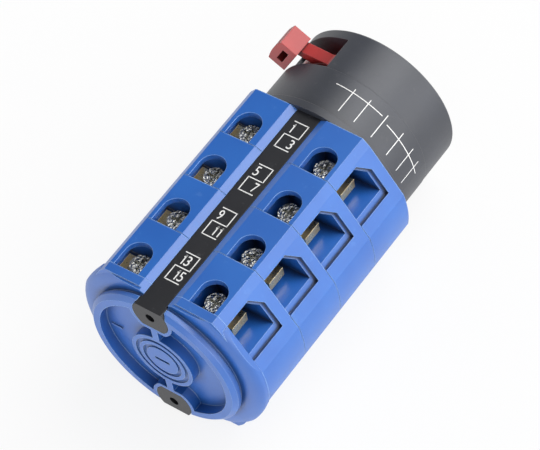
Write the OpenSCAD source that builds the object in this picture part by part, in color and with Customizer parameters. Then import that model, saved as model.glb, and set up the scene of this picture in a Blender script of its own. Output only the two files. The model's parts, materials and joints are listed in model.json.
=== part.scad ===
// Four-stage rotary cam switch with a latching unit, an open collar and a locking lever.
// The axis runs along Y. The origin is on the axis in the collar's front face, which seats
// on the panel, and the contact stages follow behind it. Z is up, towards the top strip.

/* [Contact stages] */
// Length of one contact stage along the axis
stage_pitch = 12.7; // [12.4:0.1:15]
// Radius of the round sides of the stages
body_r = 22.5; // [22.3:0.1:24]
// Height of the screw facets over the axis at their inner edge
facet_z = 18.75; // [18.6:0.05:19.2]
// Fall of a screw facet from its inner to its outer edge
facet_drop = 0.3; // [0.1:0.05:0.5]
// Half width of the strip channel where it meets the facets
facet_in_x = 4.6; // [4.3:0.1:4.9]
// Distance of a screw facet's outer edge from the centre plane
facet_out_x = 13.4; // [13.2:0.1:13.7]
// Angle of a side facet's normal over the horizontal
side_angle = 30.5; // [29:0.5:32]
// Depth that the side facets are cut into the round
side_cut = 1.1; // [0.9:0.1:1.3]
// Upper edge of a side facet along it, from the facet's middle
side_high = 6.8; // [6.6:0.05:6.9]
// Width and depth of the part line around each stage's front edge
seam = 0.15; // [0.05:0.05:0.3]

/* [Terminals] */
// Distance of the screw axes from the centre plane
screw_x = 9.4; // [9.2:0.1:9.6]
// Distance of the screw axes from the stage's rear face
screw_y = 4.1; // [3.8:0.1:4.4]
// Radius of the screw heads
head_r = 2.35; // [2.2:0.05:2.6]
// Height of the screw heads
head_h = 2.2; // [1.9:0.1:2.4]
// Depth of the screw heads below the facet
head_sink = 3.55; // [3.2:0.05:3.8]
// Radius of the shoulder under a screw head
shoulder_r = 2.05; // [1.95:0.05:2.15]
// Height of the shoulder under a screw head
shoulder_h = 0.5; // [0.4:0.05:0.7]
// Radius of the screw shanks
shank_r = 1.75; // [1.5:0.05:1.9]
// Length that a shank stands out below the fixed contact
shank_end = 0.6; // [0.3:0.1:0.7]
// Length of the cross recess's arms from end to end
recess_len = 3.2; // [2.6:0.1:3.6]
// Width of the cross recess's arms
recess_w = 0.7; // [0.5:0.1:0.9]
// Depth of the cross recess
recess_depth = 1.1; // [0.8:0.1:1.4]
// Radius of the round end of a screw access hole
access_r = 3.03; // [2.95:0.02:3.2]
// Thickness of the roof that an access hole goes through
roof_t = 1.65; // [1.4:0.05:1.8]
// Thickness of the wire clamps
clamp_t = 1.2; // [1:0.1:1.4]
// Width of the wire clamps along the axis
clamp_w = 4.8; // [4.4:0.1:5.2]
// Reach of a wire clamp inwards from the screw axis
clamp_in = 3.1; // [2.8:0.1:3.4]
// Reach of a wire clamp outwards from the screw axis
clamp_out = 5.2; // [4.8:0.1:5.3]
// Thickness of the lip at a wire clamp's outer end
lip_t = 1; // [0.8:0.1:1.2]
// Height of that lip below the clamp
lip_h = 1.2; // [0.8:0.1:1.3]
// Space between a wire clamp's inner end and the wall
clamp_slack = 0.9; // [0.5:0.1:1]
// Space for the wire between clamp and fixed contact
wire_gap = 1.5; // [1.2:0.1:1.7]
// Depth of the wire chambers from the stage's rear face
window_len = 9.1; // [8.6:0.1:9.3]
// Width of the border around a wire window
border_w = 0.8; // [0.5:0.1:1]
// Depth of the border around a wire window
border_depth = 0.8; // [0.5:0.1:1]
// Lower edge of a wire window along the side facet, from the facet's middle
window_low = 3.7; // [3.5:0.1:3.8]
// Upper edge of a wire window along the side facet, from the facet's middle
window_high = 6.28; // [6:0.02:6.4]
// Length of the cut corner of a wire window along the axis
corner_len = 2.8; // [2:0.1:3.2]
// Height of the cut corner of a wire window
corner_h = 2.9; // [2.2:0.1:3.4]
// Distance from the centre plane where the wire channel opens into the chamber
channel_x = 13.2; // [13.1:0.1:13.4]

/* [Contacts] */
// Travel of the plungers, which is the gap of the open contacts
lift = 1.5; // [1.2:0.1:1.6]
// Thickness of the fixed contacts
plate_t = 1.2; // [1:0.1:1.4]
// Width of the fixed contacts along the axis
plate_w = 5.2; // [4.8:0.1:5.6]
// Reach of a fixed contact outwards from the screw axis
plate_out = 3.6; // [3:0.1:3.7]
// Thickness of a fixed contact's leg
leg_t = 1; // [0.8:0.1:1.2]
// Distance of a leg's inner face from the wall of the cam room
leg_gap = 0.3; // [0.2:0.1:0.5]
// Height of a leg's lower end over the axis
leg_low = 4.2; // [4.1:0.1:4.4]
// Radius of the contact tips
tip_r = 1.1; // [0.9:0.05:1.15]
// Thickness of the contact tips
tip_t = 0.5; // [0.4:0.05:0.6]
// Height of the contact tips over the axis
tip_z = 5.3; // [5.2:0.05:5.35]
// Thickness of the contact bridges
bridge_t = 0.9; // [0.8:0.1:1.1]
// Half length of the contact bridges
bridge_half = 6.5; // [6.3:0.1:6.7]
// Width of the contact bridges along the axis
bridge_w = 4.6; // [4:0.1:5]
// Half height of the plungers
plunger_half = 2.9; // [2.6:0.1:3]
// Width of the plungers along the axis
plunger_w = 5; // [4.4:0.1:5.4]
// Radius of a plunger's nose
nose_r = 1; // [0.8:0.1:1.2]
// Length of a plunger's tongue between nose and body
tongue_len = 0.5; // [0.3:0.1:0.8]
// Radius of the stem that guides the contact spring
stem_r = 1.2; // [1:0.1:1.3]
// Length of that stem behind the bridge
stem_len = 2.2; // [1.5:0.1:3]
// Thickness of the side wall that the contact springs press on
spring_wall = 3.9; // [3.6:0.1:4.2]
// Mean radius of the contact springs
spring_r = 2; // [1.9:0.1:2.2]
// Radius of the contact springs' wire
spring_wire_r = 0.3; // [0.25:0.05:0.32]

/* [Cams and shaft] */
// Angle that the shaft turns from off to on
switch_angle = 90; // [60:15:90]
// Largest radius of the cams under a plunger
cam_r = 7; // [6.9:0.1:7.1]
// Thickness of the cams
cam_t = 5; // [4.4:0.1:5.2]
// Radius of the bearing hubs on the cams
hub_r = 4.6; // [4.4:0.1:4.8]
// Width of the square shaft
shaft_w = 5; // [4.4:0.1:5.2]
// Radius of the shaft's rear journal
journal_r = 2.4; // [2:0.1:2.6]
// Length of the shaft's rear journal
journal_len = 2.4; // [1.8:0.1:2.6]
// Radius of the drive coupling
coupling_r = 5.5; // [5:0.1:6]
// Radius of the flange that keeps the coupling behind its wall
coupling_flange_r = 7.5; // [7:0.1:8]
// Thickness of that flange
coupling_flange_t = 1.4; // [1:0.1:1.6]
// Distance of the coupling's front face behind the panel seat
coupling_sink = 4; // [3.5:0.1:5]
// Width of the coupling's square socket
socket_w = 6; // [5.4:0.1:6.4]
// Depth of the coupling's square socket
socket_depth = 6; // [5:0.1:6.5]

/* [Rear cap] */
// Length of the rear cap
cap_len = 5.5; // [5.3:0.1:6.2]
// Length over which the facets go on along the cap
cap_facet_len = 2.05; // [1.6:0.05:2.3]
// Length of the cap's straight round side
cap_side_len = 0.8; // [0.5:0.1:1.2]
// Length over which the side facets run out along the cap
flare_len = 2.2; // [1.8:0.1:2.6]
// Step from a screw facet down to the shoulder at its end
cap_ledge = 0.3; // [0.15:0.05:0.4]
// Distance of the neck from the cap's front face
neck_y = 2.75; // [2.7:0.05:3]
// Radius where the shoulder meets the neck
neck_r = 18; // [17.8:0.1:18.2]
// Depth of the groove between shoulder and rim
neck_groove = 0.4; // [0.3:0.1:0.6]
// Width of that groove
neck_groove_w = 0.8; // [0.5:0.1:1]
// Outer radius of the rim
rim_r = 18.2; // [18.1:0.1:18.6]
// Inner radius of the rim
rim_in_r = 15.7; // [15.5:0.1:15.9]
// Rounding of the rim's outer edge
rim_round = 0.9; // [0.5:0.1:1.1]
// Depth of the recess inside the rim
recess_floor = 2.4; // [2:0.1:2.6]
// Radius of the hub disc
hub_disc_r = 7.5; // [7.2:0.1:7.8]
// Width of the rings and grooves in the hub disc
hub_ring_w = 0.9; // [0.7:0.1:1]
// Depth of those grooves
hub_groove = 0.45; // [0.3:0.05:0.6]
// Length of the slot in the middle of the hub disc
hub_slot_len = 3.6; // [3:0.1:4.2]
// Width of that slot
hub_slot_w = 0.8; // [0.6:0.1:1]
// Depth of that slot
hub_slot_depth = 0.9; // [0.6:0.1:1.1]
// Width of the struts between hub disc and foot pockets
strut_w = 1.6; // [1.2:0.1:2]
// Distance of the raised mark's outer end from the axis
mark_out = 14.5; // [14:0.1:15]
// Length of the raised mark
mark_len = 2.8; // [2:0.1:3.2]
// Width of the raised mark
mark_w = 0.4; // [0.3:0.1:0.6]
// Height of the raised mark
mark_h = 0.4; // [0.2:0.1:0.6]

/* [Marker strips and tie bolts] */
// Half width of the strips
strip_half = 2.87; // [2.7:0.05:3]
// Thickness of the strips
strip_t = 0.88; // [0.7:0.02:1]
// Depth of a strip's top below the facets' inner edge
strip_sink = 0.82; // [0.7:0.02:1]
// Height of the tie bolts over the axis
bolt_z = 15; // [14.9:0.1:15.1]
// Radius of the tie bolts
bolt_r = 1.2; // [1:0.1:1.4]
// Radius of the tie bolts' heads
bolt_head_r = 1.8; // [1.6:0.05:1.85]
// Height of the tie bolts' heads
bolt_head_h = 2; // [1.6:0.1:2.1]
// Radius of the strip feet
foot_r = 4.3; // [4.1:0.1:4.5]
// Height of a foot's lower flat below the bolt
foot_low = 3.5; // [3.3:0.1:3.7]
// Thickness of the feet along the axis
foot_t = 2.2; // [2:0.1:2.4]
// Radius of the hole in a foot
foot_hole_r = 1.1; // [0.9:0.1:1.4]
// Wall of the pocket around a foot
foot_wall = 0.9; // [0.7:0.1:1.1]

/* [Latching unit] */
// Length of the latching unit with its flange
latch_len = 12; // [11.8:0.1:13]
// How far the latching unit stands out past the collar
latch_proud = 0.1; // [0:0.05:0.3]
// How far its flange stands out past it
flange_w = 0.7; // [0.5:0.1:1.1]
// Thickness of its flange
flange_t = 1.8; // [1.4:0.1:2.2]
// Thickness of its front wall
latch_wall = 2.2; // [1.8:0.1:2.4]
// Tip radius of the detent wheel
wheel_r = 8; // [7.7:0.1:8.2]
// Thickness of the detent wheel
wheel_t = 5; // [4.4:0.1:5.2]
// Depth of the detent notches
notch_depth = 0.5; // [0.4:0.1:0.7]
// Radius of a detent slider's nose
slider_r = 1.6; // [1.3:0.1:1.8]
// Length of a detent slider's body
slider_len = 3; // [2.6:0.1:3.2]
// Half height of a detent slider's body
slider_half = 3; // [2.6:0.1:3.2]
// Mean radius of the detent springs
detent_spring_r = 2.2; // [2:0.1:2.4]
// Radius of the detent springs' wire
detent_spring_wire_r = 0.3; // [0.25:0.05:0.3]
// Length that a bolt reaches into the latching unit
bolt_reach = 8; // [7:0.1:8.4]

/* [Collar] */
// Length of the collar
collar_len = 11; // [10.8:0.1:12]
// Outer radius of the collar
collar_r = 18.6; // [18.5:0.1:18.7]
// Thickness of the collar's wall
collar_wall = 1.7; // [1.5:0.1:1.8]
// Thickness of the front plate, which is the rim over the slot
front_t = 2.6; // [2.3:0.1:2.8]
// Width of the front plate, from the collar's outside to the bore for the panel fixing
front_w = 7.1; // [7:0.1:7.3]
// Chamfer of the collar's front edge
collar_chamfer = 0.4; // [0.2:0.1:0.6]
// Angle of the slot's upper edge from the right
slot_from = 102.5; // [100:0.5:104]
// Angle of the slot's lower edge from the right
slot_to = 166; // [164:1:172]
// Height of the register ring that centres the collar
register_h = 1.6; // [1.3:0.1:1.8]
// Width of the register ring
register_w = 1.3; // [1:0.1:1.6]
// Length of the inner step that holds the locking ring
step_len = 3.2; // [3:0.1:3.3]
// Width of that step
step_w = 1.5; // [1.3:0.1:1.6]

/* [Locking lever] */
// Width of the locking ring
ring_w = 4; // [3.8:0.1:4.2]
// Thickness of the locking ring along the axis
ring_t = 3; // [2.6:0.1:3.2]
// Height of the ring's inner lugs
lug_h = 0.9; // [0.6:0.1:1]
// Width of the ring's inner lugs
lug_w = 4; // [3:0.1:5]
// Width of the arm where it meets the tab
arm_w = 2; // [1.6:0.1:2.4]
// Distance of the arm from the tab's upper end
arm_end = 0.62; // [0.5:0.02:0.8]
// Depth that the arm reaches into the tab
arm_bite = 0.26; // [0.2:0.02:0.5]
// Angle that the tab faces, from the right
tab_angle = 149; // [147:0.5:151]
// Gap between the collar and the tab's inner face
tab_gap = 0.35; // [0.3:0.05:0.6]
// Thickness of the tab
tab_t = 4.35; // [4:0.05:4.8]
// Length of the tab
tab_len = 8.5; // [8:0.1:9]
// Length of the tab that lies before its own radius
tab_back = 0.5; // [0.3:0.1:0.8]
// Width of the tab along the axis
tab_w = 5.3; // [5:0.1:5.5]
// Distance of the tab's rear face behind the panel seat
tab_rear = 10.5; // [10.2:0.1:10.7]
// Swell of the tab's ribbed outer face
tab_swell = 0.5; // [0.3:0.1:0.7]
// Depth of the grip ribs
rib_depth = 0.25; // [0.15:0.05:0.35]
// Width of the pocket in the tab's rear face
pocket_w = 1.5; // [1.2:0.1:1.8]
// Length of that pocket
pocket_len = 4.4; // [4:0.1:5]
// Depth of that pocket
pocket_depth = 2.6; // [2:0.1:3.2]

/* [Fits] */
// Radial clearance of running fits
run_gap = 0.06; // [0.02:0.01:0.1]
// Clearance of parts that slot together
fit_gap = 0.1; // [0.05:0.01:0.15]
// Clearance of moving parts that only pass each other
pass_gap = 0.3; // [0.2:0.05:0.35]
// Clearance of the cams from the walls around them
cam_gap = 0.4; // [0.3:0.05:0.5]
// Gap left between closed contact tips
touch_gap = 0.05; // [0.03:0.01:0.08]
// Slack between the ends of pieces that stack along the shaft
end_gap = 0.05; // [0.03:0.01:0.08]

/* [Hidden] */
$fn = 96;

// Colours
blue = [0.13, 0.40, 0.75];
black = [0.14, 0.15, 0.17];
red = [0.82, 0.22, 0.20];
brass = [0.85, 0.72, 0.42];
zinc = [0.78, 0.79, 0.80];
silver = [0.88, 0.88, 0.86];
cream = [0.90, 0.87, 0.78];
steel = [0.62, 0.63, 0.65];

// Overrun of every cut
over = 0.5;
stage_count = 4;

// Places along the axis
collar_rear = -collar_len;
latch_rear = collar_rear - latch_len;
cap_front = latch_rear - stage_count * stage_pitch;
cap_rear = cap_front - cap_len;
function stage_rear(k) = latch_rear - k * stage_pitch;
function stage_front(k) = stage_rear(k) + stage_pitch;
function terminal_y(k) = stage_rear(k) + screw_y;

// Side facet: its distance from the axis, its middle and its upper corner
side_dist = body_r - side_cut;
side_mid_z = side_dist * sin(side_angle);
side_top = [
    side_dist * cos(side_angle) - side_high * sin(side_angle),
    side_mid_z + side_high * cos(side_angle)
];
function side_z(s) = side_mid_z + s * cos(side_angle);

// Levels of a terminal, from the facet down
head_top = facet_z - head_sink;
head_low = head_top - head_h;
clamp_top = head_low - shoulder_h;
clamp_low = clamp_top - clamp_t;
plate_top = clamp_low - wire_gap;
ledge_z = plate_top - plate_t;
room_top = facet_z - roof_t;
window_top_z = side_z(window_high - border_w);

// Strip channel
strip_top = facet_z - strip_sink;
strip_low = strip_top - strip_t;
channel_half = strip_half + fit_gap;

// Places across the contacts, outwards from the axis
cam_lead = lift / switch_angle;
cam_margin = 12;
cam_step = 4;
cam_room_r = cam_r + cam_lead * cam_margin + cam_gap;
leg_x = cam_room_r + leg_gap;
tip_face = leg_x + leg_t + tip_t;
bridge_x = tip_face + touch_gap + lift + tip_t;
nose_x = cam_r + pass_gap;
plunger_body_x = nose_x + nose_r + tongue_len;
spring_x = bridge_x + bridge_t;
spring_end = body_r - spring_wall;
guide_end = tip_face + touch_gap + tip_t - pass_gap;
guide_half = plunger_half + fit_gap;
room_half = bridge_half + fit_gap + pass_gap;
leg_room_low = leg_low - fit_gap;
inner_x = screw_x - clamp_in - clamp_slack;

// Springs
spring_turns = 5;
coil_rings = 8;
coil_sides = 6;
detent_turns = 3;

// Latching unit
latch_r = collar_r + latch_proud;
flange_r = latch_r + flange_w;
detent_nose = wheel_r + fit_gap;
flange_front = collar_rear - latch_wall - end_gap;
wheel_front = flange_front - coupling_flange_t - end_gap;
wheel_mid = wheel_front - wheel_t / 2;
slider_back = detent_nose + slider_r + slider_len;
latch_room_r = wheel_r + slider_r;
latch_room_x = latch_r - latch_wall;
notch_count = 4;

// Curve of the cap's shoulder
shoulder_step = 7.5;
shoulder_power = 0.85;

// Collar
operator_r = collar_r - front_w;
step_r = collar_r - collar_wall - step_w;

// Locking lever
ring_r = collar_r - collar_wall - run_gap;
ring_in_r = ring_r - ring_w;
tab_in = collar_r + tab_gap;
ring_front = -front_t - step_len - fit_gap;
tab_rib_count = 7;
tab_from = -tab_back;
tab_to = tab_len - tab_back;
// Corners of the arm's root on the ring, as angles from the right and shares of the ring's width
root_angles = [118, 105.5, 108];
root_shares = [0.516, 0.453, 0.937];
arm_t = ring_t - 2 * fit_gap;

// Draws children, given as X and Z, from y_front backwards along the axis
module along(y_front, len) {
    translate([0, y_front, 0])
        rotate([90, 0, 0])
            linear_extrude(len)
                children();
}

// Draws children, given as Y and Z, from x_from outwards along X
module across(x_from, len) {
    translate([x_from, 0, 0])
        rotate([90, 0, 90])
            linear_extrude(len)
                children();
}

module both_sides() {
    children();
    mirror([1, 0, 0])
        children();
}

module above_and_below() {
    children();
    mirror([0, 0, 1])
        children();
}

module four_corners() {
    both_sides()
        above_and_below()
            children();
}

module span(x_from, x_to, z_from, z_to) {
    translate([x_from, z_from])
        square([x_to - x_from, z_to - z_from]);
}

module four_quarters() {
    for (turn = [0, 1], flip = [0, 1])
        mirror([0, turn])
            mirror([flip, 0])
                children();
}

// The faceted outline, without the round
module facet_shape() {
    four_quarters()
        polygon([
            [0, 0],
            [0, facet_z],
            [facet_in_x, facet_z],
            [facet_out_x, facet_z - facet_drop],
            side_top,
            [side_dist / cos(side_angle), 0]
        ]);
}

// All that lies above and below a height, as far as the body reaches
module outer_bands(z) {
    span(-body_r, body_r, z, body_r);
    span(-body_r, body_r, -body_r, -z);
}

module channel_shape() {
    for (turn = [0, 1])
        mirror([0, turn])
            polygon([
                [-channel_half, strip_low],
                [channel_half, strip_low],
                [channel_half, strip_top],
                [facet_in_x, facet_z],
                [facet_in_x, body_r],
                [-facet_in_x, body_r],
                [-facet_in_x, facet_z],
                [-channel_half, strip_top]
            ]);
}

module stage_outline() {
    difference() {
        intersection() {
            facet_shape();
            union() {
                circle(r = body_r);
                outer_bands(side_mid_z);
            }
        }
        channel_shape();
    }
}

// Rooms inside a stage, as they lie across the axis
module room_shape() {
    circle(r = cam_room_r);
    four_quarters() {
        span(0, spring_end, 0, guide_half);
        span(guide_end, spring_end, 0, room_half);
        span(leg_x - fit_gap, spring_end, leg_room_low, room_half);
        span(leg_x - fit_gap, leg_x + leg_t + fit_gap, leg_room_low, ledge_z + over);
        span(inner_x, channel_x, ledge_z, room_top);
    }
}

module window_channel() {
    across(channel_x - over, body_r)
        polygon([
            [-over, ledge_z],
            [window_len, ledge_z],
            [window_len, window_top_z - corner_h + border_w / 2],
            [window_len - corner_len + border_w / 2, window_top_z],
            [-over, window_top_z]
        ]);
}

module window_border() {
    rotate([0, -side_angle, 0])
        across(side_dist - border_depth, body_r)
            polygon([
                [-over, -window_low],
                [window_len + border_w, -window_low],
                [window_len + border_w, window_high - corner_h - border_w / 2],
                [window_len + border_w - corner_len, window_high],
                [-over, window_high]
            ]);
}

module access_hole() {
    translate([screw_x, 0, room_top - over]) {
        translate([0, screw_y, 0])
            cylinder(h = roof_t + 2 * over, r = access_r);
        translate([-access_r, -over, 0])
            cube([2 * access_r, screw_y + over, roof_t + 2 * over]);
    }
}

module screw_well() {
    translate([screw_x, screw_y, ledge_z - shank_end - fit_gap])
        cylinder(h = shank_end + over, r = shank_r + fit_gap);
}

module bolt_holes(y_front, len) {
    along(y_front, len)
        for (z = [-bolt_z, bolt_z])
            translate([0, z])
                circle(r = bolt_r + fit_gap);
}

module housing(k) {
    color(blue)
        difference() {
            union() {
                along(stage_front(k) - seam, stage_pitch - seam)
                    stage_outline();
                along(stage_front(k), seam)
                    scale((body_r - seam) / body_r)
                        stage_outline();
            }
            along(stage_rear(k) + window_len, window_len + over)
                room_shape();
            translate([0, stage_rear(k), 0])
                four_corners() {
                    window_channel();
                    window_border();
                    access_hole();
                    screw_well();
                }
            along(stage_front(k) + over, stage_pitch)
                circle(r = hub_r + run_gap);
            bolt_holes(stage_front(k) + over, stage_pitch + 2 * over);
        }
}

module cross_recess() {
    for (turn = [0, 90])
        rotate([0, 0, turn])
            translate([-recess_len / 2, -recess_w / 2, head_top - recess_depth])
                cube([recess_len, recess_w, recess_depth + over]);
}

module terminal_screw() {
    translate([screw_x, 0, 0])
        difference() {
            union() {
                translate([0, 0, head_low])
                    cylinder(h = head_h, r = head_r);
                translate([0, 0, clamp_top])
                    cylinder(h = shoulder_h, r = shoulder_r);
                translate([0, 0, ledge_z - shank_end])
                    cylinder(h = clamp_top - ledge_z + shank_end, r = shank_r);
            }
            cross_recess();
        }
}

module terminal_screws(k) {
    color(zinc)
        translate([0, terminal_y(k), 0])
            four_corners()
                terminal_screw();
}

module wire_clamps(k) {
    color(brass)
        translate([0, terminal_y(k), 0])
            four_corners()
                difference() {
                    union() {
                        translate([screw_x - clamp_in, -clamp_w / 2, clamp_low])
                            cube([clamp_in + clamp_out, clamp_w, clamp_t]);
                        translate([screw_x + clamp_out - lip_t, -clamp_w / 2, clamp_low - lip_h])
                            cube([lip_t, clamp_w, lip_h + clamp_t / 2]);
                    }
                    translate([screw_x, 0, clamp_low - over])
                        cylinder(h = clamp_t + 2 * over, r = shank_r + fit_gap);
                }
}

module fixed_contact() {
    difference() {
        union() {
            translate([leg_x, -plate_w / 2, ledge_z])
                cube([screw_x + plate_out - leg_x, plate_w, plate_t]);
            translate([leg_x, -plate_w / 2, leg_low])
                cube([leg_t, plate_w, plate_top - leg_low]);
            translate([leg_x + leg_t, 0, tip_z])
                rotate([0, 90, 0])
                    cylinder(h = tip_t, r = tip_r);
        }
        translate([screw_x, 0, ledge_z - shank_end - fit_gap])
            cylinder(h = shank_end + fit_gap + plate_t + over, r = shank_r + run_gap);
    }
}

module fixed_contacts(k) {
    color(brass)
        translate([0, terminal_y(k), 0])
            four_corners()
                fixed_contact();
}

// Cam radius at angle p from a plunger: it falls evenly over the switching angle
function cam_edge(p) =
    p <= switch_angle + cam_margin ? cam_r - cam_lead * p :
    p >= 180 - cam_margin ? cam_r + cam_lead * (180 - p) :
    cam_return((p - switch_angle - cam_margin) / (180 - switch_angle - 2 * cam_margin));
function cam_return(t) =
    let (low = cam_r - cam_lead * (switch_angle + cam_margin), high = cam_r + cam_lead * cam_margin)
    low + (high - low) * (1 - cos(180 * t)) / 2;

module shaft_hole() {
    square(shaft_w + 2 * run_gap, center = true);
}

module cam(k) {
    color(cream)
        difference() {
            union() {
                along(terminal_y(k) + cam_t / 2, cam_t)
                    polygon([for (p = [0 : cam_step : 360 - cam_step])
                        cam_edge(p % 180) * [cos(p), sin(p)]]);
                along(stage_front(k) - end_gap, stage_pitch - 2 * end_gap)
                    circle(r = hub_r);
            }
            along(stage_front(k) + over, stage_pitch + 2 * over)
                shaft_hole();
        }
}

// A plunger on the right: nose at the cam, body in its guide, stem through the bridge
module plunger(k) {
    translate([0, terminal_y(k), 0]) {
        along(plunger_w / 2, plunger_w) {
            translate([nose_x + nose_r, 0])
                circle(r = nose_r);
            span(nose_x + nose_r, bridge_x, -nose_r, nose_r);
            span(plunger_body_x, bridge_x, -plunger_half, plunger_half);
        }
        translate([bridge_x, 0, 0])
            rotate([0, 90, 0])
                cylinder(h = bridge_t + stem_len, r = stem_r);
    }
}

module bridge(k) {
    translate([bridge_x, terminal_y(k), 0])
        difference() {
            union() {
                translate([0, -bridge_w / 2, -bridge_half])
                    cube([bridge_t, bridge_w, 2 * bridge_half]);
                for (z = [-tip_z, tip_z])
                    translate([-tip_t, 0, z])
                        rotate([0, 90, 0])
                            cylinder(h = tip_t, r = tip_r);
            }
            translate([-over, 0, 0])
                rotate([0, 90, 0])
                    cylinder(h = bridge_t + 2 * over, r = stem_r + run_gap);
        }
}

// A coil spring along X as one unbroken tube, with its wire's ends set in from both seats
function coil_centre(i, turns, len, r, wire) =
    let (run = len - 2 * wire - 2 * end_gap)
    [wire + end_gap + run * i / (turns * coil_rings),
     r * cos(360 * i / coil_rings),
     r * sin(360 * i / coil_rings)];
function coil_ring(i, turns, len, r, wire) =
    let (c = coil_centre(i, turns, len, r, wire), a = 360 * i / coil_rings)
    [for (j = [0 : coil_sides - 1])
        let (b = 360 * j / coil_sides)
        c + wire * [sin(b), cos(b) * cos(a), cos(b) * sin(a)]];
function coil_gap(turns, len, r, wire) =
    min([for (i = [0 : (turns - 1) * coil_rings])
        norm(coil_centre(i, turns, len, r, wire) - coil_centre(i + coil_rings, turns, len, r, wire))])
    - 2 * wire;

module coil(turns, len, r, wire) {
    last = turns * coil_rings;
    points = [for (i = [0 : last]) each coil_ring(i, turns, len, r, wire)];
    sides = [
        for (i = [0 : last - 1], j = [0 : coil_sides - 1])
            let (a = i * coil_sides + j, b = i * coil_sides + (j + 1) % coil_sides)
            each [[a, b, a + coil_sides], [b, b + coil_sides, a + coil_sides]]
    ];
    ends = [
        for (j = [1 : coil_sides - 2])
            each [
                [0, j + 1, j],
                [last * coil_sides, last * coil_sides + j, last * coil_sides + j + 1]
            ]
    ];
    polyhedron(points = points, faces = concat(sides, ends));
}

contact_spring_len = spring_end - spring_x;
detent_spring_len = latch_room_x - slider_back;
echo(str("least gap of a contact spring to itself: ",
    coil_gap(spring_turns, contact_spring_len, spring_r, spring_wire_r)));
echo(str("least gap of a detent spring to itself: ",
    coil_gap(detent_turns, detent_spring_len, detent_spring_r, detent_spring_wire_r)));

module contact_spring(k) {
    translate([spring_x, terminal_y(k), 0])
        coil(spring_turns, contact_spring_len, spring_r, spring_wire_r);
}

module to_left() {
    mirror([1, 0, 0])
        children();
}

module shaft() {
    square_front = collar_rear - latch_wall / 2;
    square_rear = cap_front + end_gap;
    color(steel) {
        along(square_front, square_front - square_rear)
            square(shaft_w, center = true);
        along(square_rear, journal_len)
            circle(r = journal_r);
    }
}

module drive_coupling() {
    rear = flange_front - coupling_flange_t;
    color(black)
        difference() {
            union() {
                along(-coupling_sink, -coupling_sink - rear)
                    circle(r = coupling_r);
                along(flange_front, coupling_flange_t)
                    circle(r = coupling_flange_r);
            }
            along(-coupling_sink + over, socket_depth + over)
                square(socket_w, center = true);
            along(collar_rear - latch_wall / 2 + end_gap, latch_len)
                shaft_hole();
        }
}

module detent_wheel() {
    color(cream)
        difference() {
            union() {
                along(wheel_front, wheel_t)
                    circle(r = wheel_r);
                along(wheel_front, wheel_front - latch_rear - end_gap)
                    circle(r = hub_r);
            }
            along(wheel_front + over, wheel_t + 2 * over)
                for (i = [0 : notch_count - 1])
                    rotate(360 * i / notch_count)
                        translate([detent_nose + slider_r - notch_depth, 0])
                            circle(r = slider_r + fit_gap);
            along(wheel_front + over, latch_len)
                shaft_hole();
        }
}

// The detent slider on the right: a round nose on a body that runs in its slot
module detent_slider() {
    width = wheel_t - 2 * fit_gap;
    along(wheel_mid + width / 2, width) {
        translate([detent_nose + slider_r, 0])
            circle(r = slider_r);
        span(detent_nose + slider_r, slider_back, -slider_half, slider_half);
    }
}

module detent_spring() {
    translate([slider_back, wheel_mid, 0])
        coil(detent_turns, detent_spring_len, detent_spring_r, detent_spring_wire_r);
}

module latch_housing() {
    room_front = collar_rear - latch_wall;
    blind = latch_rear + bolt_reach + fit_gap;
    color(black)
        difference() {
            union() {
                along(collar_rear, latch_len)
                    circle(r = latch_r);
                along(latch_rear + flange_t, flange_t)
                    circle(r = flange_r);
                along(collar_rear + register_h, register_h)
                    circle(r = collar_r - collar_wall - run_gap);
            }
            along(collar_rear + register_h + over, register_h + over)
                circle(r = collar_r - collar_wall - run_gap - register_w);
            along(collar_rear + over, latch_len)
                circle(r = coupling_r + run_gap);
            along(room_front, latch_len) {
                circle(r = latch_room_r);
                span(-latch_room_x, latch_room_x, -slider_half - fit_gap, slider_half + fit_gap);
            }
            bolt_holes(blind, bolt_reach + over);
        }
}

// A sector from angle a to angle b, as the slot sees it from the axis
module sector(a, b) {
    reach = 2 * collar_r;
    middle = (a + b) / 2;
    polygon([
        [0, 0],
        reach * [cos(a), sin(a)],
        reach * [cos(middle), sin(middle)],
        reach * [cos(b), sin(b)]
    ]);
}

module collar() {
    color(black)
        difference() {
            rotate([90, 0, 0])
                rotate_extrude()
                    polygon([
                        [operator_r, 0],
                        [collar_r - collar_chamfer, 0],
                        [collar_r, collar_chamfer],
                        [collar_r, collar_len],
                        [collar_r - collar_wall, collar_len],
                        [collar_r - collar_wall, front_t + step_len],
                        [step_r, front_t + step_len],
                        [step_r, front_t],
                        [operator_r, front_t]
                    ]);
            along(-front_t, collar_len)
                difference() {
                    sector(slot_from, slot_to);
                    circle(r = operator_r);
                }
        }
}

// The tab in its own frame: first along its length, then outwards
module tab_shape() {
    middle = (tab_from + tab_to) / 2;
    half = tab_len / 2;
    out = tab_in + tab_t;
    swell_r = (half * half + tab_swell * tab_swell) / (2 * tab_swell);
    crest = out + tab_swell - swell_r;
    difference() {
        union() {
            span(tab_from, tab_to, tab_in, out);
            intersection() {
                span(tab_from, tab_to, out - over, out + tab_swell);
                translate([middle, crest])
                    circle(r = swell_r);
            }
        }
        for (i = [1 : tab_rib_count])
            let (x = (i / (tab_rib_count + 1) - 1 / 2) * tab_len)
            translate([middle + x, crest + sqrt(swell_r * swell_r - x * x)])
                rotate(45)
                    square(sqrt(2) * rib_depth, center = true);
    }
}

// A place in the tab's frame, seen along the axis
function tab_point(along_tab, out) =
    along_tab * [sin(tab_angle), -cos(tab_angle)] + out * [cos(tab_angle), sin(tab_angle)];

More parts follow.
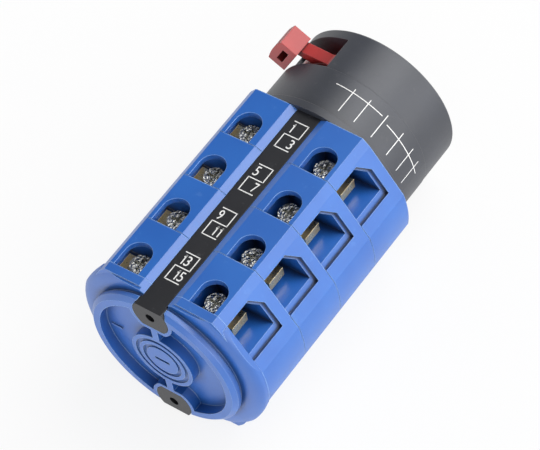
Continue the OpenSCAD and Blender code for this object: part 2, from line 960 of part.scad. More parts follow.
// The arm between the ring and the tab
module arm_shape() {
    top = tab_to - arm_end;
    polygon(concat(
        [tab_point(top, tab_in + arm_bite), tab_point(top - arm_w, tab_in + arm_bite)],
        [for (i = [0 : len(root_angles) - 1])
            (ring_in_r + ring_w * root_shares[i]) * [cos(root_angles[i]), sin(root_angles[i])]]
    ));
}

module locking_lever() {
    color(red)
        difference() {
            union() {
                along(ring_front, ring_t)
                    difference() {
                        circle(r = ring_r);
                        difference() {
                            circle(r = ring_in_r);
                            for (turn = [45 : 90 : 315])
                                rotate(turn)
                                    span(ring_in_r - lug_h, ring_r, -lug_w / 2, lug_w / 2);
                        }
                    }
                along(ring_front - fit_gap, arm_t)
                    arm_shape();
                along(tab_w - tab_rear, tab_w)
                    rotate(tab_angle - 90)
                        tab_shape();
            }
            along(pocket_depth - tab_rear, pocket_depth + over)
                rotate(tab_angle - 90)
                    translate([(tab_from + tab_to) / 2, tab_in + tab_t / 2])
                        square([pocket_len, pocket_w], center = true);
        }
}

module strip() {
    foot_front = cap_rear + foot_t;
    color(black)
        difference() {
            union() {
                translate([-strip_half, cap_rear, strip_low])
                    cube([2 * strip_half, latch_rear - cap_rear, strip_t]);
                along(foot_front, foot_t)
                    intersection() {
                        translate([0, bolt_z])
                            circle(r = foot_r);
                        span(-foot_r, foot_r, bolt_z - foot_low, strip_top);
                    }
            }
            along(foot_front + over, foot_t + 2 * over)
                translate([0, bolt_z])
                    circle(r = foot_hole_r);
        }
}

module marker_strip_top() {
    strip();
}

module marker_strip_bottom() {
    mirror([0, 0, 1])
        strip();
}

module tie_bolts() {
    head_rear = cap_rear + foot_t + fit_gap;
    shank_front = latch_rear + bolt_reach;
    color(zinc)
        above_and_below()
            difference() {
                union() {
                    along(shank_front, shank_front - head_rear)
                        translate([0, bolt_z])
                            circle(r = bolt_r);
                    along(head_rear + bolt_head_h, bolt_head_h)
                        translate([0, bolt_z])
                            circle(r = bolt_head_r);
                }
                along(head_rear + bolt_head_h / 2, bolt_head_h)
                    translate([0, bolt_z])
                        circle(r = foot_hole_r, $fn = 6);
            }
}

// The cap's round shoulder, neck and rim: a bulging curve falls from the side to the neck
module cap_round() {
    round_r = body_r - neck_r;
    round_y = neck_y - cap_side_len;
    rotate([90, 0, 0])
        rotate_extrude()
            polygon(concat(
                [[0, 0], [body_r, 0]],
                [for (a = [0 : shoulder_step : 90])
                    [
                        neck_r + round_r * pow(cos(a), shoulder_power),
                        cap_side_len + round_y * pow(sin(a), shoulder_power)
                    ]
                ],
                [
                    [neck_r - neck_groove, neck_y],
                    [neck_r - neck_groove, neck_y + neck_groove_w],
                    [rim_r, neck_y + neck_groove_w],
                    [rim_r, cap_len - rim_round],
                    [rim_r - rim_round, cap_len],
                    [0, cap_len]
                ]
            ));
}

// The screw facets' outline with open sides, lowered by drop
module shoulder_limit(drop) {
    four_quarters()
        polygon([
            [0, 0],
            [0, facet_z - drop],
            [facet_in_x, facet_z - drop],
            [facet_out_x, facet_z - facet_drop - drop],
            side_top - [0, drop],
            [2 * body_r, side_mid_z],
            [2 * body_r, 0]
        ]);
}

// A side facet that runs out along the cap, from one seam's depth over the stage's facet
module facet_flare() {
    rotate([0, -side_angle, 0])
        translate([side_dist + seam, 0, 0])
            rotate([0, 0, atan((side_cut - seam) / flare_len)])
                translate([0, -cap_len, -body_r])
                    cube([body_r, cap_len + over, 2 * body_r]);
}

module foot_outline(extra) {
    for (turn = [0, 1])
        mirror([0, turn])
            intersection() {
                translate([0, bolt_z])
                    circle(r = foot_r + extra);
                span(-foot_r - extra, foot_r + extra, bolt_z - foot_low - extra, body_r);
            }
}

module hub_grooves() {
    outer_r = hub_disc_r - hub_ring_w;
    boss_r = outer_r - 3 * hub_ring_w;
    along(cap_rear + hub_groove, cap_len) {
        difference() {
            circle(r = outer_r);
            circle(r = outer_r - hub_ring_w);
        }
        difference() {
            circle(r = outer_r - 2 * hub_ring_w);
            circle(r = boss_r);
        }
    }
    along(cap_rear + hub_slot_depth, cap_len)
        square([hub_slot_len, hub_slot_w], center = true);
}

module recess_shape() {
    difference() {
        circle(r = rim_in_r);
        circle(r = hub_disc_r);
        foot_outline(foot_wall);
        span(-strut_w / 2, strut_w / 2, -bolt_z, bolt_z);
    }
}

module end_cap() {
    color(blue)
        difference() {
            union() {
                difference() {
                    intersection() {
                        translate([0, cap_front, 0])
                            cap_round();
                        along(cap_front, cap_len)
                            difference() {
                                shoulder_limit(cap_ledge);
                                channel_shape();
                            }
                    }
                    translate([0, cap_front, 0])
                        four_corners()
                            facet_flare();
                    along(cap_rear + recess_floor, recess_floor + over)
                        recess_shape();
                }
                along(cap_front, cap_facet_len)
                    difference() {
                        intersection() {
                            stage_outline();
                            outer_bands(side_mid_z);
                        }
                        circle(r = neck_r - neck_groove);
                    }
                translate([-mark_out, cap_rear + recess_floor - mark_h, 0])
                    cube([mark_len, mark_h + over, mark_w]);
            }
            along(cap_rear + foot_t + fit_gap, cap_len)
                foot_outline(fit_gap);
            hub_grooves();
            along(cap_front + over, journal_len + over + end_gap)
                circle(r = journal_r + run_gap);
            bolt_holes(cap_front + over, cap_len);
            along(cap_rear + foot_t + bolt_head_h + 2 * fit_gap, bolt_head_h + over)
                for (z = [-bolt_z, bolt_z])
                    translate([0, z])
                        circle(r = bolt_head_r + fit_gap);
        }
}

housing(1);  // housing_1
housing(2);  // housing_2
housing(3);  // housing_3
housing(4);  // housing_4
end_cap();
marker_strip_top();
marker_strip_bottom();
tie_bolts();
latch_housing();
collar();
locking_lever();
drive_coupling();
shaft();
detent_wheel();
color(cream) to_left() detent_slider();  // detent_slider_left
color(cream) detent_slider();  // detent_slider_right
color(steel) to_left() detent_spring();  // detent_spring_left
color(steel) detent_spring();  // detent_spring_right
for (k = [1 : stage_count]) {
    cam(k);
    color(cream) to_left() plunger(k);
    color(cream) plunger(k);
    color(silver) to_left() bridge(k);
    color(silver) bridge(k);
    color(steel) to_left() contact_spring(k);
    color(steel) contact_spring(k);
    fixed_contacts(k);
    terminal_screws(k);
    wire_clamps(k);
}
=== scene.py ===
import json
import math

import bpy
from mathutils import Matrix, Vector


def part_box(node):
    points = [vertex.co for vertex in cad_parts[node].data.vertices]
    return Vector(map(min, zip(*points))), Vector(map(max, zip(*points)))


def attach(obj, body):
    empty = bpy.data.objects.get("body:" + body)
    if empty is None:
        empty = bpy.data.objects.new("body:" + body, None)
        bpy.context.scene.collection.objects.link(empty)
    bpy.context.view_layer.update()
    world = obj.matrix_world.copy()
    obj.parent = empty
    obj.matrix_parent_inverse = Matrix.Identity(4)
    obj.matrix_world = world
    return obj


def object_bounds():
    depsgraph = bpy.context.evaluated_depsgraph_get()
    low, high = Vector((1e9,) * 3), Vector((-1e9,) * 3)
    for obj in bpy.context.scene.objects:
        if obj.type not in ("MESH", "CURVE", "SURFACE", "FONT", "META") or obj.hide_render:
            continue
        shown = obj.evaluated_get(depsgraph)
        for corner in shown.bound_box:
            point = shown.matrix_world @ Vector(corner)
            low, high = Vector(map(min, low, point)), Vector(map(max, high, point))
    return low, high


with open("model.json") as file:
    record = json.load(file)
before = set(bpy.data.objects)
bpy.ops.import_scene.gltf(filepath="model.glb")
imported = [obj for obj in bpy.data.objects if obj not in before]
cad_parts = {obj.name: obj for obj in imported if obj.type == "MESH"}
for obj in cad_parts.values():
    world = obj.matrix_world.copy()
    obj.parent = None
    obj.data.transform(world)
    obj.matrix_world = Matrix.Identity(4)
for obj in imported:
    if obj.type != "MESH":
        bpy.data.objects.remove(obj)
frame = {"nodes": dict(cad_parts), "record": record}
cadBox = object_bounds()
nodes = frame["nodes"]
mm = 0.001
print("frame loaded:", len(nodes), "CAD nodes")


# small helpers for working by operator

def clearSelection():
    if bpy.context.object and bpy.context.object.mode != "OBJECT":
        bpy.ops.object.mode_set(mode="OBJECT")
    bpy.ops.object.select_all(action="DESELECT")


def pick(obj):
    clearSelection()
    obj.select_set(True)
    bpy.context.view_layer.objects.active = obj
    return obj


def applyPlace(obj):
    pick(obj)
    bpy.ops.object.transform_apply(location=True, rotation=True, scale=True)
    return obj


def editMode(kind):
    bpy.ops.object.mode_set(mode="EDIT")
    bpy.ops.mesh.select_mode(type=kind)


def objectMode():
    bpy.ops.object.mode_set(mode="OBJECT")


def selectAll():
    bpy.ops.mesh.select_all(action="SELECT")


def joinPieces(pieces, name):
    pick(pieces[0])
    for piece in pieces[1:]:
        piece.select_set(True)
    if len(pieces) > 1:
        bpy.ops.object.join()
    whole = bpy.context.object
    whole.name = name
    whole.data.name = name
    return applyPlace(whole)


# shader maths

class Wire:                               # one output socket, so that node maths reads as arithmetic
    def __init__(self, paint, socket):
        self.paint = paint
        self.socket = socket

    def work(self, operation, first, second):
        return self.paint.node("ShaderNodeMath", {"operation": operation}, {0: first, 1: second})

    def __add__(self, other):
        return self.work("ADD", self, other)

    def __radd__(self, other):
        return self.work("ADD", other, self)

    def __sub__(self, other):
        return self.work("SUBTRACT", self, other)

    def __rsub__(self, other):
        return self.work("SUBTRACT", other, self)

    def __mul__(self, other):
        return self.work("MULTIPLY", self, other)

    def __rmul__(self, other):
        return self.work("MULTIPLY", other, self)


class Paint:                              # a node tree, of a material or of the world
    def __init__(self, tree, material=None):
        self.tree = tree
        self.material = material
        self.tree.nodes.clear()

    def node(self, kind, settings=None, sockets=None, output=0):
        made = self.tree.nodes.new(kind)
        for key, value in (settings or {}).items():
            if key == "stops":
                ramp = made.color_ramp
                while len(ramp.elements) < len(value):
                    ramp.elements.new(0.5)
                for element, (place, colour) in zip(ramp.elements, value):
                    element.position = place
                    element.color = colour
            else:
                setattr(made, key, value)
        for key, value in (sockets or {}).items():
            if isinstance(value, Wire):
                self.tree.links.new(value.socket, made.inputs[key])
            else:
                made.inputs[key].default_value = value
        return Wire(self, made.outputs[output]) if len(made.outputs) else None

    def noise(self, kind, place, scale):
        detail, roughness = noiseKinds[kind]
        return self.node("ShaderNodeTexNoise", {}, {"Vector": place, "Scale": scale,
                                                    "Detail": detail, "Roughness": roughness})

    def mix(self, factor, first, second):
        return self.node("ShaderNodeMix", {"data_type": "RGBA"}, {0: factor, 6: first, 7: second}, 2)

    def between(self, value, low, high):      # 0 under low, 1 over high
        return self.node("ShaderNodeMapRange", {"interpolation_type": "SMOOTHSTEP"},
                         {"Value": value, "From Min": low, "From Max": high})

    def finish(self, shader):
        self.node("ShaderNodeOutputMaterial", {}, {"Surface": shader})
        return self.material


def materialPaint(name):
    material = bpy.data.materials.new(name)
    material.use_nodes = True
    return Paint(material.node_tree, material)


def rgb(red, green, blue):
    def linear(part):
        part = part / 255
        return part / 12.92 if part <= 0.04045 else ((part + 0.055) / 1.055) ** 2.4
    return (linear(red), linear(green), linear(blue), 1.0)


noiseKinds = {                             # detail and roughness of each noise
    "grain": (3.0, 0.6), "cloud": (2.0, 0.5), "scuff": (4.0, 0.65), "brush": (3.0, 0.6),
    "spangle": (3.0, 0.65), "tarnish": (3.0, 0.6), "cover": (3.0, 0.6), "floor": (2.0, 0.5),
}
maskRange = {                              # where each mask starts and where it is full
    "edge": (0.002, 0.25), "hollowShade": (0.12, 0.5), "cloud": (0.3, 0.7), "scuff": (0.62, 0.7),
    "tarnish": (0.42, 0.7), "cover": (0.35, 0.75),
}
noiseMiddle = 0.5                          # what a noise gives on average
wearAndPaintedLight = {                                   # what scuffs, edges and tarnish add to the roughness, the share of painted highlight on metal edges, and sample counts for the rounded normals and the painted shade in hollows
    "scuffRoughness": 0.08, "edgeRoughness": 0.06, "tarnishRoughness": 0.12, "metalEdgeHighlightShare": 0.5,
    "coatRoughness": 0.25, "bevelSamples": 6, "hollowShadeSamples": 8,
}


def edgeMask(paint, radius):              # rounded normal, and 0 on flats to 1 on a sharp edge; the mask lowers roughness and places the painted edge highlight
    rounded = paint.node("ShaderNodeBevel", {"samples": wearAndPaintedLight["bevelSamples"]}, {"Radius": radius})
    flat = paint.node("ShaderNodeNewGeometry", {}, {}, "True Normal")
    same = paint.node("ShaderNodeVectorMath", {"operation": "DOT_PRODUCT"}, {0: rounded, 1: flat}, "Value")
    return rounded, paint.between(1 - same, *maskRange["edge"])


def hollowShadeMask(paint, reach):             # painted shade mask: 0 in the open to 1 deep in a piece's own wells and pockets
    settings = {"samples": wearAndPaintedLight["hollowShadeSamples"], "only_local": True}
    openSky = paint.node("ShaderNodeAmbientOcclusion", settings, {"Distance": reach}, "AO")
    return paint.between(1 - openSky, *maskRange["hollowShade"])


# finishes

def mouldedPlastic(name, look):
    paint = materialPaint(name)
    place = paint.node("ShaderNodeTexCoord", {}, {}, "Object")
    rounded, edge = edgeMask(paint, look["edgeRadius"])
    grain = paint.noise("grain", place, look["grainScale"])
    cloud = paint.between(paint.noise("cloud", place, look["cloudScale"]), *maskRange["cloud"])
    scuff = paint.between(paint.noise("scuff", place, look["scuffScale"]), *maskRange["scuff"])
    body = paint.mix(cloud, look["colour"], look["deepColour"])
    body = paint.mix(scuff * look["scuffShare"], body, look["scuffColour"])
    # painted highlight: sharp edges are lightened towards a pale colour, standing in for the light that
    # rounded edges catch
    body = paint.mix(edge * look["edgeHighlightShare"], body, look["edgeHighlightColour"])
    # painted shade: the piece's own wells and pockets are darkened, driven by ambient occlusion
    hollowShade = hollowShadeMask(paint, look["hollowShadeReach"])
    body = paint.mix(hollowShade * look["hollowShadeShare"], body, look["hollowShadeColour"])
    rough = (look["roughness"] + (grain - noiseMiddle) * look["grainRoughness"]
             + scuff * wearAndPaintedLight["scuffRoughness"] - edge * wearAndPaintedLight["edgeRoughness"])
    bump = paint.node("ShaderNodeBump", {}, {
        "Strength": look["grainStrength"], "Distance": look["grainDepth"],
        "Height": grain, "Normal": rounded})
    return paint.finish(paint.node("ShaderNodeBsdfPrincipled", {}, {
        "Base Color": body, "Roughness": rough, "Normal": bump,
        "Specular IOR Level": look["specular"], "Coat Weight": look["coat"],
        "Coat Roughness": wearAndPaintedLight["coatRoughness"]}))


# in each plastic finish, the edge colour is a painted highlight and the hollow colour is painted shade
bluePlastic = {
    "colour": rgb(34, 104, 192), "deepColour": rgb(28, 96, 184), "scuffColour": rgb(70, 130, 205),
    "edgeHighlightColour": rgb(165, 205, 252), "scuffShare": 0.25, "edgeHighlightShare": 0.95, "edgeRadius": 0.2 * mm,
    "roughness": 0.33, "grainScale": 5200.0, "grainRoughness": 0.16, "grainStrength": 0.35,
    "grainDepth": 0.02 * mm, "cloudScale": 70.0, "scuffScale": 420.0, "specular": 1.0, "coat": 0.0,
    "hollowShadeColour": rgb(5, 18, 46), "hollowShadeShare": 0.97, "hollowShadeReach": 6.0 * mm,
}
capPlastic = {**bluePlastic, "colour": rgb(40, 104, 190), "deepColour": rgb(34, 96, 182),
              "edgeRadius": 0.24 * mm, "roughness": 0.35, "hollowShadeShare": 0.45}
blackPlastic = {
    "colour": rgb(46, 50, 61), "deepColour": rgb(40, 44, 54), "scuffColour": rgb(80, 80, 84),
    "edgeHighlightColour": rgb(120, 122, 126), "scuffShare": 0.3, "edgeHighlightShare": 0.45, "edgeRadius": 0.16 * mm,
    "roughness": 0.46, "grainScale": 3600.0, "grainRoughness": 0.2, "grainStrength": 0.55,
    "grainDepth": 0.03 * mm, "cloudScale": 90.0, "scuffScale": 500.0, "specular": 1.0, "coat": 0.0,
    "hollowShadeColour": rgb(14, 15, 18), "hollowShadeShare": 0.7, "hollowShadeReach": 4.0 * mm,
}
stripPlastic = {**blackPlastic, "colour": rgb(31, 32, 37), "deepColour": rgb(27, 28, 33),
                "roughness": 0.42, "specular": 0.6, "grainStrength": 0.4, "edgeRadius": 0.1 * mm}
innerBlack = {**blackPlastic, "colour": rgb(50, 51, 54), "deepColour": rgb(42, 43, 46)}
redPlastic = {
    "colour": rgb(184, 42, 40), "deepColour": rgb(170, 35, 35), "scuffColour": rgb(225, 110, 105),
    "edgeHighlightColour": rgb(235, 130, 125), "scuffShare": 0.2, "edgeHighlightShare": 0.5, "edgeRadius": 0.2 * mm,
    "roughness": 0.36, "grainScale": 4200.0, "grainRoughness": 0.14, "grainStrength": 0.3,
    "grainDepth": 0.02 * mm, "cloudScale": 110.0, "scuffScale": 500.0, "specular": 0.8, "coat": 0.0,
    "hollowShadeColour": rgb(70, 14, 16), "hollowShadeShare": 0.8, "hollowShadeReach": 2.5 * mm,
}
paleInner = {
    "colour": rgb(226, 220, 200), "deepColour": rgb(214, 206, 184), "scuffColour": rgb(236, 232, 220),
    "edgeHighlightColour": rgb(244, 240, 230), "scuffShare": 0.2, "edgeHighlightShare": 0.4, "edgeRadius": 0.12 * mm,
    "roughness": 0.42, "grainScale": 4200.0, "grainRoughness": 0.14, "grainStrength": 0.3,
    "grainDepth": 0.02 * mm, "cloudScale": 120.0, "scuffScale": 500.0, "specular": 0.5, "coat": 0.0,
    "hollowShadeColour": rgb(130, 120, 96), "hollowShadeShare": 0.6, "hollowShadeReach": 2.0 * mm,
}


def platedMetal(name, look):
    paint = materialPaint(name)
    place = paint.node("ShaderNodeTexCoord", {}, {}, "Object")
    rounded, edge = edgeMask(paint, look["edgeRadius"])
    stretched = paint.node("ShaderNodeMapping", {}, {"Vector": place, "Scale": look["brushScale"]})
    brush = paint.noise("brush", stretched, 1.0)
    flecks = paint.node("ShaderNodeTexVoronoi", {"feature": "F1"},
                        {"Vector": place, "Scale": look["fleckScale"]})
    spangle = paint.noise("spangle", place, look["spangleScale"])
    tarnish = paint.between(paint.noise("tarnish", place, look["tarnishScale"]), *maskRange["tarnish"])
    body = paint.mix(tarnish * look["tarnishShare"], look["colour"], look["tarnishColour"])
    # painted highlight: metal edges are lightened towards a pale colour
    body = paint.mix(edge * wearAndPaintedLight["metalEdgeHighlightShare"], body, look["edgeHighlightColour"])
    rough = (look["roughness"] + (spangle - noiseMiddle) * look["roughnessSwing"]
             + tarnish * wearAndPaintedLight["tarnishRoughness"])
    height = brush * look["brushShare"] + spangle * (1 - look["brushShare"]) + flecks * look["fleckShare"]
    bump = paint.node("ShaderNodeBump", {}, {
        "Strength": look["bumpStrength"], "Distance": look["bumpDepth"],
        "Height": height, "Normal": rounded})
    return paint.finish(paint.node("ShaderNodeBsdfPrincipled", {}, {
        "Base Color": body, "Roughness": rough, "Normal": bump, "Metallic": 1.0}))


# in each metal finish, the edge colour is a painted highlight
zincPlate = {
    "colour": rgb(214, 214, 208), "tarnishColour": rgb(168, 164, 150), "edgeHighlightColour": rgb(244, 244, 240),
    "tarnishShare": 0.5, "roughness": 0.3, "roughnessSwing": 0.3, "tarnishScale": 700.0,
    "brushScale": (900.0, 9000.0, 9000.0), "brushShare": 0.35, "fleckScale": 5200.0, "fleckShare": 0.4,
    "spangleScale": 2600.0, "bumpStrength": 0.7, "bumpDepth": 0.05 * mm, "edgeRadius": 0.1 * mm,
}
screwPlate = {**zincPlate, "roughness": 0.24, "fleckScale": 1700.0, "fleckShare": 1.3,
              "spangleScale": 1500.0, "bumpStrength": 1.0, "bumpDepth": 0.25 * mm}
brassPlate = {
    **zincPlate, "colour": rgb(246, 224, 172), "tarnishColour": rgb(214, 168, 100),
    "edgeHighlightColour": rgb(252, 236, 190), "roughness": 0.28, "roughnessSwing": 0.18,
    "bumpStrength": 0.4, "bumpDepth": 0.03 * mm, "fleckShare": 0.1,
}
copperContact = {**brassPlate, "colour": rgb(226, 196, 128), "tarnishColour": rgb(190, 150, 84)}
silverPlate = {**zincPlate, "colour": rgb(226, 225, 218), "tarnishColour": rgb(190, 184, 168),
               "bumpStrength": 0.35, "bumpDepth": 0.02 * mm}
drawnSteel = {**zincPlate, "colour": rgb(188, 189, 192), "tarnishColour": rgb(150, 150, 152),
              "bumpStrength": 0.3, "bumpDepth": 0.02 * mm, "fleckShare": 0.0, "brushShare": 0.8,
              "brushScale": (9000.0, 600.0, 9000.0)}
springSteel = {**drawnSteel, "colour": rgb(176, 177, 180), "roughness": 0.26}

finishes = {
    "stage_plastic": mouldedPlastic("stage_plastic_blue", bluePlastic),
    "cap_plastic": mouldedPlastic("cap_plastic_blue", capPlastic),
    "strip_plastic": mouldedPlastic("strip_plastic_black", stripPlastic),
    "latch_plastic": mouldedPlastic("latch_plastic_black", blackPlastic),
    "collar_plastic": mouldedPlastic("collar_plastic_black", {**blackPlastic, "edgeRadius": 0.25 * mm}),
    "lever_plastic": mouldedPlastic("lever_plastic_red", redPlastic),
    "coupling_plastic": mouldedPlastic("coupling_plastic_black", innerBlack),
    "inner_plastic": mouldedPlastic("inner_plastic_pale", paleInner),
    "shaft_steel": platedMetal("shaft_steel_drawn", drawnSteel),
    "spring_steel": platedMetal("spring_steel_wire", springSteel),
    "bolt_steel": platedMetal("bolt_steel_zinc", zincPlate),
    "screw_zinc": platedMetal("screw_zinc_plate", screwPlate),
    "clamp_brass": platedMetal("clamp_brass_stamped", brassPlate),
    "contact_brass": platedMetal("contact_brass_stamped", copperContact),
    "bridge_metal": platedMetal("bridge_silver_plate", silverPlate),
}
slotOf = {part["node"]: part["material_slot"] for part in frame["record"]["subparts"]}
for name, node in nodes.items():
    node.data.materials.clear()
    node.data.materials.append(finishes[slotOf[name]])
print("finishes made:", len(finishes))


# print on the marker strips

markerPrint = {
    "firstRear": -35.7 * mm, "pitch": 12.7 * mm,        # rear boundary of stage 1, and one stage
    "left": -1.68 * mm, "right": 1.84 * mm,             # ends of the rules across the strip
    "front": 9.83 * mm, "middle": 6.13 * mm, "back": 2.47 * mm,      # rules, from the stage's rear boundary
    "rule": 0.23 * mm, "thick": 0.03 * mm,
    "digitHeight": 2.45 * mm, "digitWidth": 1.08 * mm, "digitGap": 0.34 * mm, "stroke": 0.26 * mm,
    "oneWidth": 0.54 * mm, "oneBearing": 0.2 * mm, "flagDrop": 0.62 * mm,      # the 1 is a stem with a flag
    "upperFoot": 6.82 * mm, "lowerFoot": 3.06 * mm, "upperLeft": -1.5 * mm, "lowerRight": 1.7 * mm,
    "curveSteps": 4,
    "topNumbers": [("1", "3"), ("5", "7"), ("9", "11"), ("13", "15")],
    "bottomNumbers": [("2", "4"), ("6", "8"), ("10", "12"), ("14", "16")],
}


inkLook = {
    "colour": rgb(246, 246, 244), "thinColour": rgb(226, 226, 226), "coverScale": 6000.0,
    "bumpStrength": 0.3, "bumpDepth": 0.01 * mm, "roughness": 0.5, "roughnessSwing": 0.2,
}


def printWhite():
    paint = materialPaint("strip_print_white")
    place = paint.node("ShaderNodeTexCoord", {}, {}, "Object")
    cover = paint.noise("cover", place, inkLook["coverScale"])
    thin = paint.between(cover, *maskRange["cover"])
    ink = paint.mix(thin, inkLook["colour"], inkLook["thinColour"])
    rough = inkLook["roughness"] + (cover - noiseMiddle) * inkLook["roughnessSwing"]
    bump = paint.node("ShaderNodeBump", {}, {"Strength": inkLook["bumpStrength"],
                                             "Distance": inkLook["bumpDepth"], "Height": cover})
    return paint.finish(paint.node("ShaderNodeBsdfPrincipled", {}, {
        "Base Color": ink, "Roughness": rough, "Normal": bump}))


def inked(marks, thick):            # flat marks become a layer of ink in the white ink finish, attached to the switch body
    thicken = marks.modifiers.new("ink", "SOLIDIFY")
    thicken.thickness = thick
    thicken.offset = 1.0
    bpy.ops.object.modifier_apply(modifier="ink")
    marks.data.materials.clear()
    marks.data.materials.append(inkWhite)
    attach(marks, "switch_body")
    return marks


def rulePiece(x0, x1, y0, y1):            # one printed rule: a flat plane, thickened later with the other marks
    clearSelection()
    bpy.ops.mesh.primitive_plane_add(size=1, location=((x0 + x1) / 2, (y0 + y1) / 2, 0))
    rule = bpy.context.object
    rule.scale = (x1 - x0, y1 - y0, 1)
    return applyPlace(rule)


def onePiece(x, y):                       # stem and slanted flag
    look = markerPrint
    right = x + look["oneBearing"] + look["oneWidth"]
    top = y + look["digitHeight"]
    stem = rulePiece(right - look["stroke"], right, y, top)
    reach = look["oneWidth"] - look["stroke"] / 2
    flag = rulePiece(-math.hypot(reach, look["flagDrop"]), 0, -look["stroke"], 0)
    flag.rotation_euler = (0, 0, math.atan2(look["flagDrop"], reach))
    flag.location = (right - look["stroke"] / 2, top, 0)
    return joinPieces([stem, applyPlace(flag)], "one")


def digitPiece(text, x, y):
    clearSelection()
    bpy.ops.object.text_add(location=(0, 0, 0))
    letter = bpy.context.object
    letter.data.body = text
    letter.data.size = 1.0
    letter.data.resolution_u = markerPrint["curveSteps"]
    bpy.ops.object.convert(target="MESH")
    letter = bpy.context.object
    corners = [v.co for v in letter.data.vertices]
    low = Vector((min(c.x for c in corners), min(c.y for c in corners), 0))
    high = Vector((max(c.x for c in corners), max(c.y for c in corners), 0))
    wide = markerPrint["digitWidth"] / (high.x - low.x)
    tall = markerPrint["digitHeight"] / (high.y - low.y)
    letter.scale = (wide, tall, 1)
    letter.location = (x - low.x * wide, y - low.y * tall, 0)
    return applyPlace(letter)


def digitRoom(text):
    return markerPrint["oneWidth"] + markerPrint["oneBearing"] if text == "1" else markerPrint["digitWidth"]


def numberPiece(text, x, y, fromRight):
    rooms = [digitRoom(part) for part in text]
    if fromRight:
        x = x - sum(rooms) - (len(text) - 1) * markerPrint["digitGap"]
    digits = []
    for part, room in zip(text, rooms):
        digits.append(onePiece(x, y) if part == "1" else digitPiece(part, x, y))
        x = x + room + markerPrint["digitGap"]
    return joinPieces(digits, "number")


def stripPrint(name, numbers, surface, flip):
    look = markerPrint
    pieces = []
    half = look["rule"] / 2
    for stage, (upper, lower) in enumerate(numbers):
        rear = look["firstRear"] - stage * look["pitch"]
        front, middle, back = (rear + look[k] for k in ("front", "middle", "back"))
        left, right = look["left"], look["right"]
        pieces.append(rulePiece(left, right, front - half, front + half))
        pieces.append(rulePiece(left, right, middle - half, middle + half))
        pieces.append(rulePiece(left, right, back - half, back + half))
        pieces.append(rulePiece(right - half, right + half, middle - half, front + half))
        pieces.append(rulePiece(left - half, left + half, back - half, middle + half))
        pieces.append(numberPiece(upper, look["upperLeft"], rear + look["upperFoot"], False))
        pieces.append(numberPiece(lower, look["lowerRight"], rear + look["lowerFoot"], True))
    marks = joinPieces(pieces, name)
    if flip:                              # the underside is read from below, so it turns over
        pick(marks)
        marks.rotation_euler = (0, math.pi, 0)
        applyPlace(marks)
    pick(marks)
    marks.location = (0, 0, surface)
    applyPlace(marks)
    return inked(marks, look["thick"])


inkWhite = printWhite()
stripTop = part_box("marker_strip_top")[1].z
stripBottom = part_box("marker_strip_bottom")[0].z
stripPrint("print_top", markerPrint["topNumbers"], stripTop, False)
stripPrint("print_bottom", markerPrint["bottomNumbers"], stripBottom, True)
print("marker print made")


# blank ruled tables on the latching unit's round side

ruledTables = {
    "flange": 0.7 * mm,                    # how far the unit's rear flange stands out past its round side
    "lift": 0.02 * mm, "thick": 0.03 * mm, "rule": 0.2 * mm,
    "step": 1.5, "plane": 1.0,             # degrees to a segment, and the width of the plane it is cut from
    "tables": [                            # header's angles and its place, then the separators' angles
        (51.5, 88.0, -13.95 * mm, (48.75, 63.2, 75.2)),
        (2.0, 45.7, -14.7 * mm, (8.1, 19.5, 33.1)),
    ],
    "sepFront": -12.93 * mm, "sepRear": -19.4 * mm,
}


def roundRule(low, high, y, radius):      # a short edge spun round the axis into a thin strip
    look = ruledTables
    clearSelection()
    bpy.ops.mesh.primitive_plane_add(size=1, location=(0, 0, 0))
    rule = bpy.context.object
    middle = radius + look["plane"] / 2
    rule.scale = (look["plane"], look["rule"], 1)
    rule.location = (middle, y, 0)
    applyPlace(rule)
    rule.rotation_euler = (0, -math.radians(high), 0)
    applyPlace(rule)
    editMode("VERT")
    bpy.ops.mesh.select_all(action="DESELECT")
    objectMode()
    for vertex in rule.data.vertices:      # the plane's outer edge goes, its inner edge is spun
        vertex.select = vertex.co.length > middle
    editMode("VERT")
    bpy.ops.mesh.delete(type="VERT")
    selectAll()
    steps = max(2, round((high - low) / look["step"]))
    bpy.ops.mesh.spin(steps=steps, angle=math.radians(high - low), center=(0, 0, 0), axis=(0, -1, 0))
    objectMode()
    face = rule.data.polygons[0]
    if face.normal.dot(face.center) < 0:   # the strip has to face away from the axis
        editMode("FACE")
        selectAll()
        bpy.ops.mesh.flip_normals()
        objectMode()
    return rule


def acrossRule(angle, yFront, yRear, radius):
    half = ruledTables["rule"] / 2
    rule = rulePiece(-half, half, yRear, yFront)
    rule.location = (0, 0, radius)
    applyPlace(rule)
    rule.rotation_euler = (0, math.radians(90 - angle), 0)
    return applyPlace(rule)


def tablePrint(name):
    look = ruledTables
    left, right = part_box("latch_housing")
    radius = (right.x - left.x) / 2
    latchRadius = radius - look["flange"] + look["lift"]
    pieces = []
    for low, high, header, separators in look["tables"]:
        pieces.append(roundRule(low, high, header, latchRadius))
        for angle in separators:
            pieces.append(acrossRule(angle, look["sepFront"], look["sepRear"], latchRadius))
    return inked(joinPieces(pieces, name), look["thick"])


tablePrint("print_table")
print("ruled tables made")


# floor, light and camera

studio = {
    "floorColour": rgb(250, 250, 250), "floorShade": rgb(246, 246, 247), "floorCloud": 3.0,
    "floorSize": 3.0, "floorDrop": 0.02 * mm, "cameraWhite": 0.85, "lampAim": (0, -0.04, 0),
    "horizon": 1.0, "zenith": 0.1,
    "bandLow": 0.3, "bandHigh": 0.62,      # sines of the heights where the sky dims
    "wall": 1.25, "wallFrom": 0.22, "wallFull": 0.4,     # bright wall of sky on the right side
    "lamps": [                              # name, place, size, power
        ("keySoft", (0.22, 0.6, 0.95), 0.95, 6.2),
        ("rearSoft", (-0.45, -0.9, 0.12), 0.6, 1.5),
    ],
}


def pickRays(paint):                       # camera, mirror and glass rays see the plain background
    path = paint.tree.nodes.new("ShaderNodeLightPath")
    seen = Wire(paint, path.outputs["Is Camera Ray"]) + Wire(paint, path.outputs["Is Glossy Ray"])
    return seen + Wire(paint, path.outputs["Is Transmission Ray"])


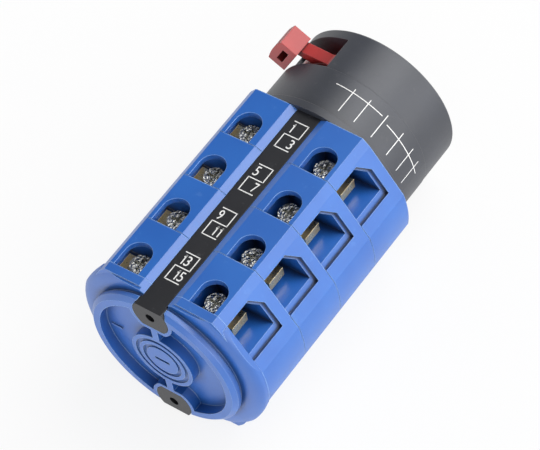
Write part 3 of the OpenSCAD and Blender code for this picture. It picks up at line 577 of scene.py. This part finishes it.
def makeFloor():
    clearSelection()
    lowest = cadBox[0][2]
    bpy.ops.mesh.primitive_plane_add(size=studio["floorSize"], location=(0, 0, lowest - studio["floorDrop"]))
    floor = bpy.context.object
    floor.name = "floor"
    applyPlace(floor)
    paint = materialPaint("floor_white")
    place = paint.node("ShaderNodeTexCoord", {}, {}, "Object")
    tone = paint.mix(paint.noise("floor", place, studio["floorCloud"]), studio["floorColour"],
                     studio["floorShade"])
    lit = paint.node("ShaderNodeBsdfDiffuse", {}, {"Color": tone})
    white = paint.node("ShaderNodeEmission", {}, {"Color": (1, 1, 1, 1), "Strength": 1.0})
    share = pickRays(paint) * studio["cameraWhite"]
    shader = paint.node("ShaderNodeMixShader", {}, {0: share, 1: lit, 2: white})
    floor.data.materials.append(paint.finish(shader))


def makeWorld():
    world = bpy.data.worlds.new("studio")
    bpy.context.scene.world = world
    world.use_nodes = True
    paint = Paint(world.node_tree)
    direction = paint.node("ShaderNodeTexCoord", {}, {}, "Generated")
    height = paint.node("ShaderNodeSeparateXYZ", {}, {"Vector": direction}, "Z")
    up = paint.between(height, studio["bandLow"], studio["bandHigh"])
    strength = studio["horizon"] + up * (studio["zenith"] - studio["horizon"])
    side = paint.node("ShaderNodeSeparateXYZ", {}, {"Vector": direction}, "X")
    strength = strength + paint.between(side, studio["wallFrom"], studio["wallFull"]) * studio["wall"]
    glow = paint.node("ShaderNodeBackground", {}, {"Color": (1, 1, 1, 1), "Strength": strength})
    paint.node("ShaderNodeOutputWorld", {}, {"Surface": glow})


def makeLamps():
    centre = Vector(studio["lampAim"])
    for name, place, size, power in studio["lamps"]:
        lamp = bpy.data.lights.new(name, "AREA")
        lamp.shape = "DISK"
        lamp.size = size
        lamp.energy = power
        made = bpy.data.objects.new(name, lamp)
        bpy.context.scene.collection.objects.link(made)
        made.location = Vector(place) + centre
        made.rotation_euler = (centre - made.location).to_track_quat("-Z", "Y").to_euler()


cameraView = {                             # fitted to the stage corners in the photograph
    "azimuth": 45.221, "elevation": 52.426, "roll": -12.544,
    "across": 10.456 * mm, "upward": 12.009 * mm, "distance": 590.708 * mm,
    "datum": -23.0 * mm,                   # the fit's own zero along Y: the first stage's front face
    "lens": 187.204, "sensor": 36.0,
}


def makeCamera():
    view = cameraView
    azimuth, elevation, roll = (math.radians(view[k]) for k in ("azimuth", "elevation", "roll"))
    back = Vector((math.sin(azimuth) * math.cos(elevation), -math.cos(azimuth) * math.cos(elevation),
                   math.sin(elevation)))
    right = Vector((math.cos(azimuth), math.sin(azimuth), 0))
    up = back.cross(right)
    turnedRight = right * math.cos(roll) + up * math.sin(roll)
    turnedUp = up * math.cos(roll) - right * math.sin(roll)
    place = (back * view["distance"] - turnedRight * view["across"] - turnedUp * view["upward"]
             + Vector((0, view["datum"], 0)))
    lensData = bpy.data.cameras.new("photoView")
    lensData.lens = view["lens"]
    lensData.sensor_width = view["sensor"]
    lensData.sensor_fit = "HORIZONTAL"
    camera = bpy.data.objects.new("photoView", lensData)
    bpy.context.scene.collection.objects.link(camera)
    turn = Matrix((turnedRight, turnedUp, back)).transposed().to_4x4()
    camera.matrix_world = Matrix.Translation(place) @ turn
    bpy.context.scene.camera = camera


makeFloor()
makeWorld()
makeLamps()
makeCamera()
bpy.context.scene.view_settings.view_transform = "Standard"
print("studio set")
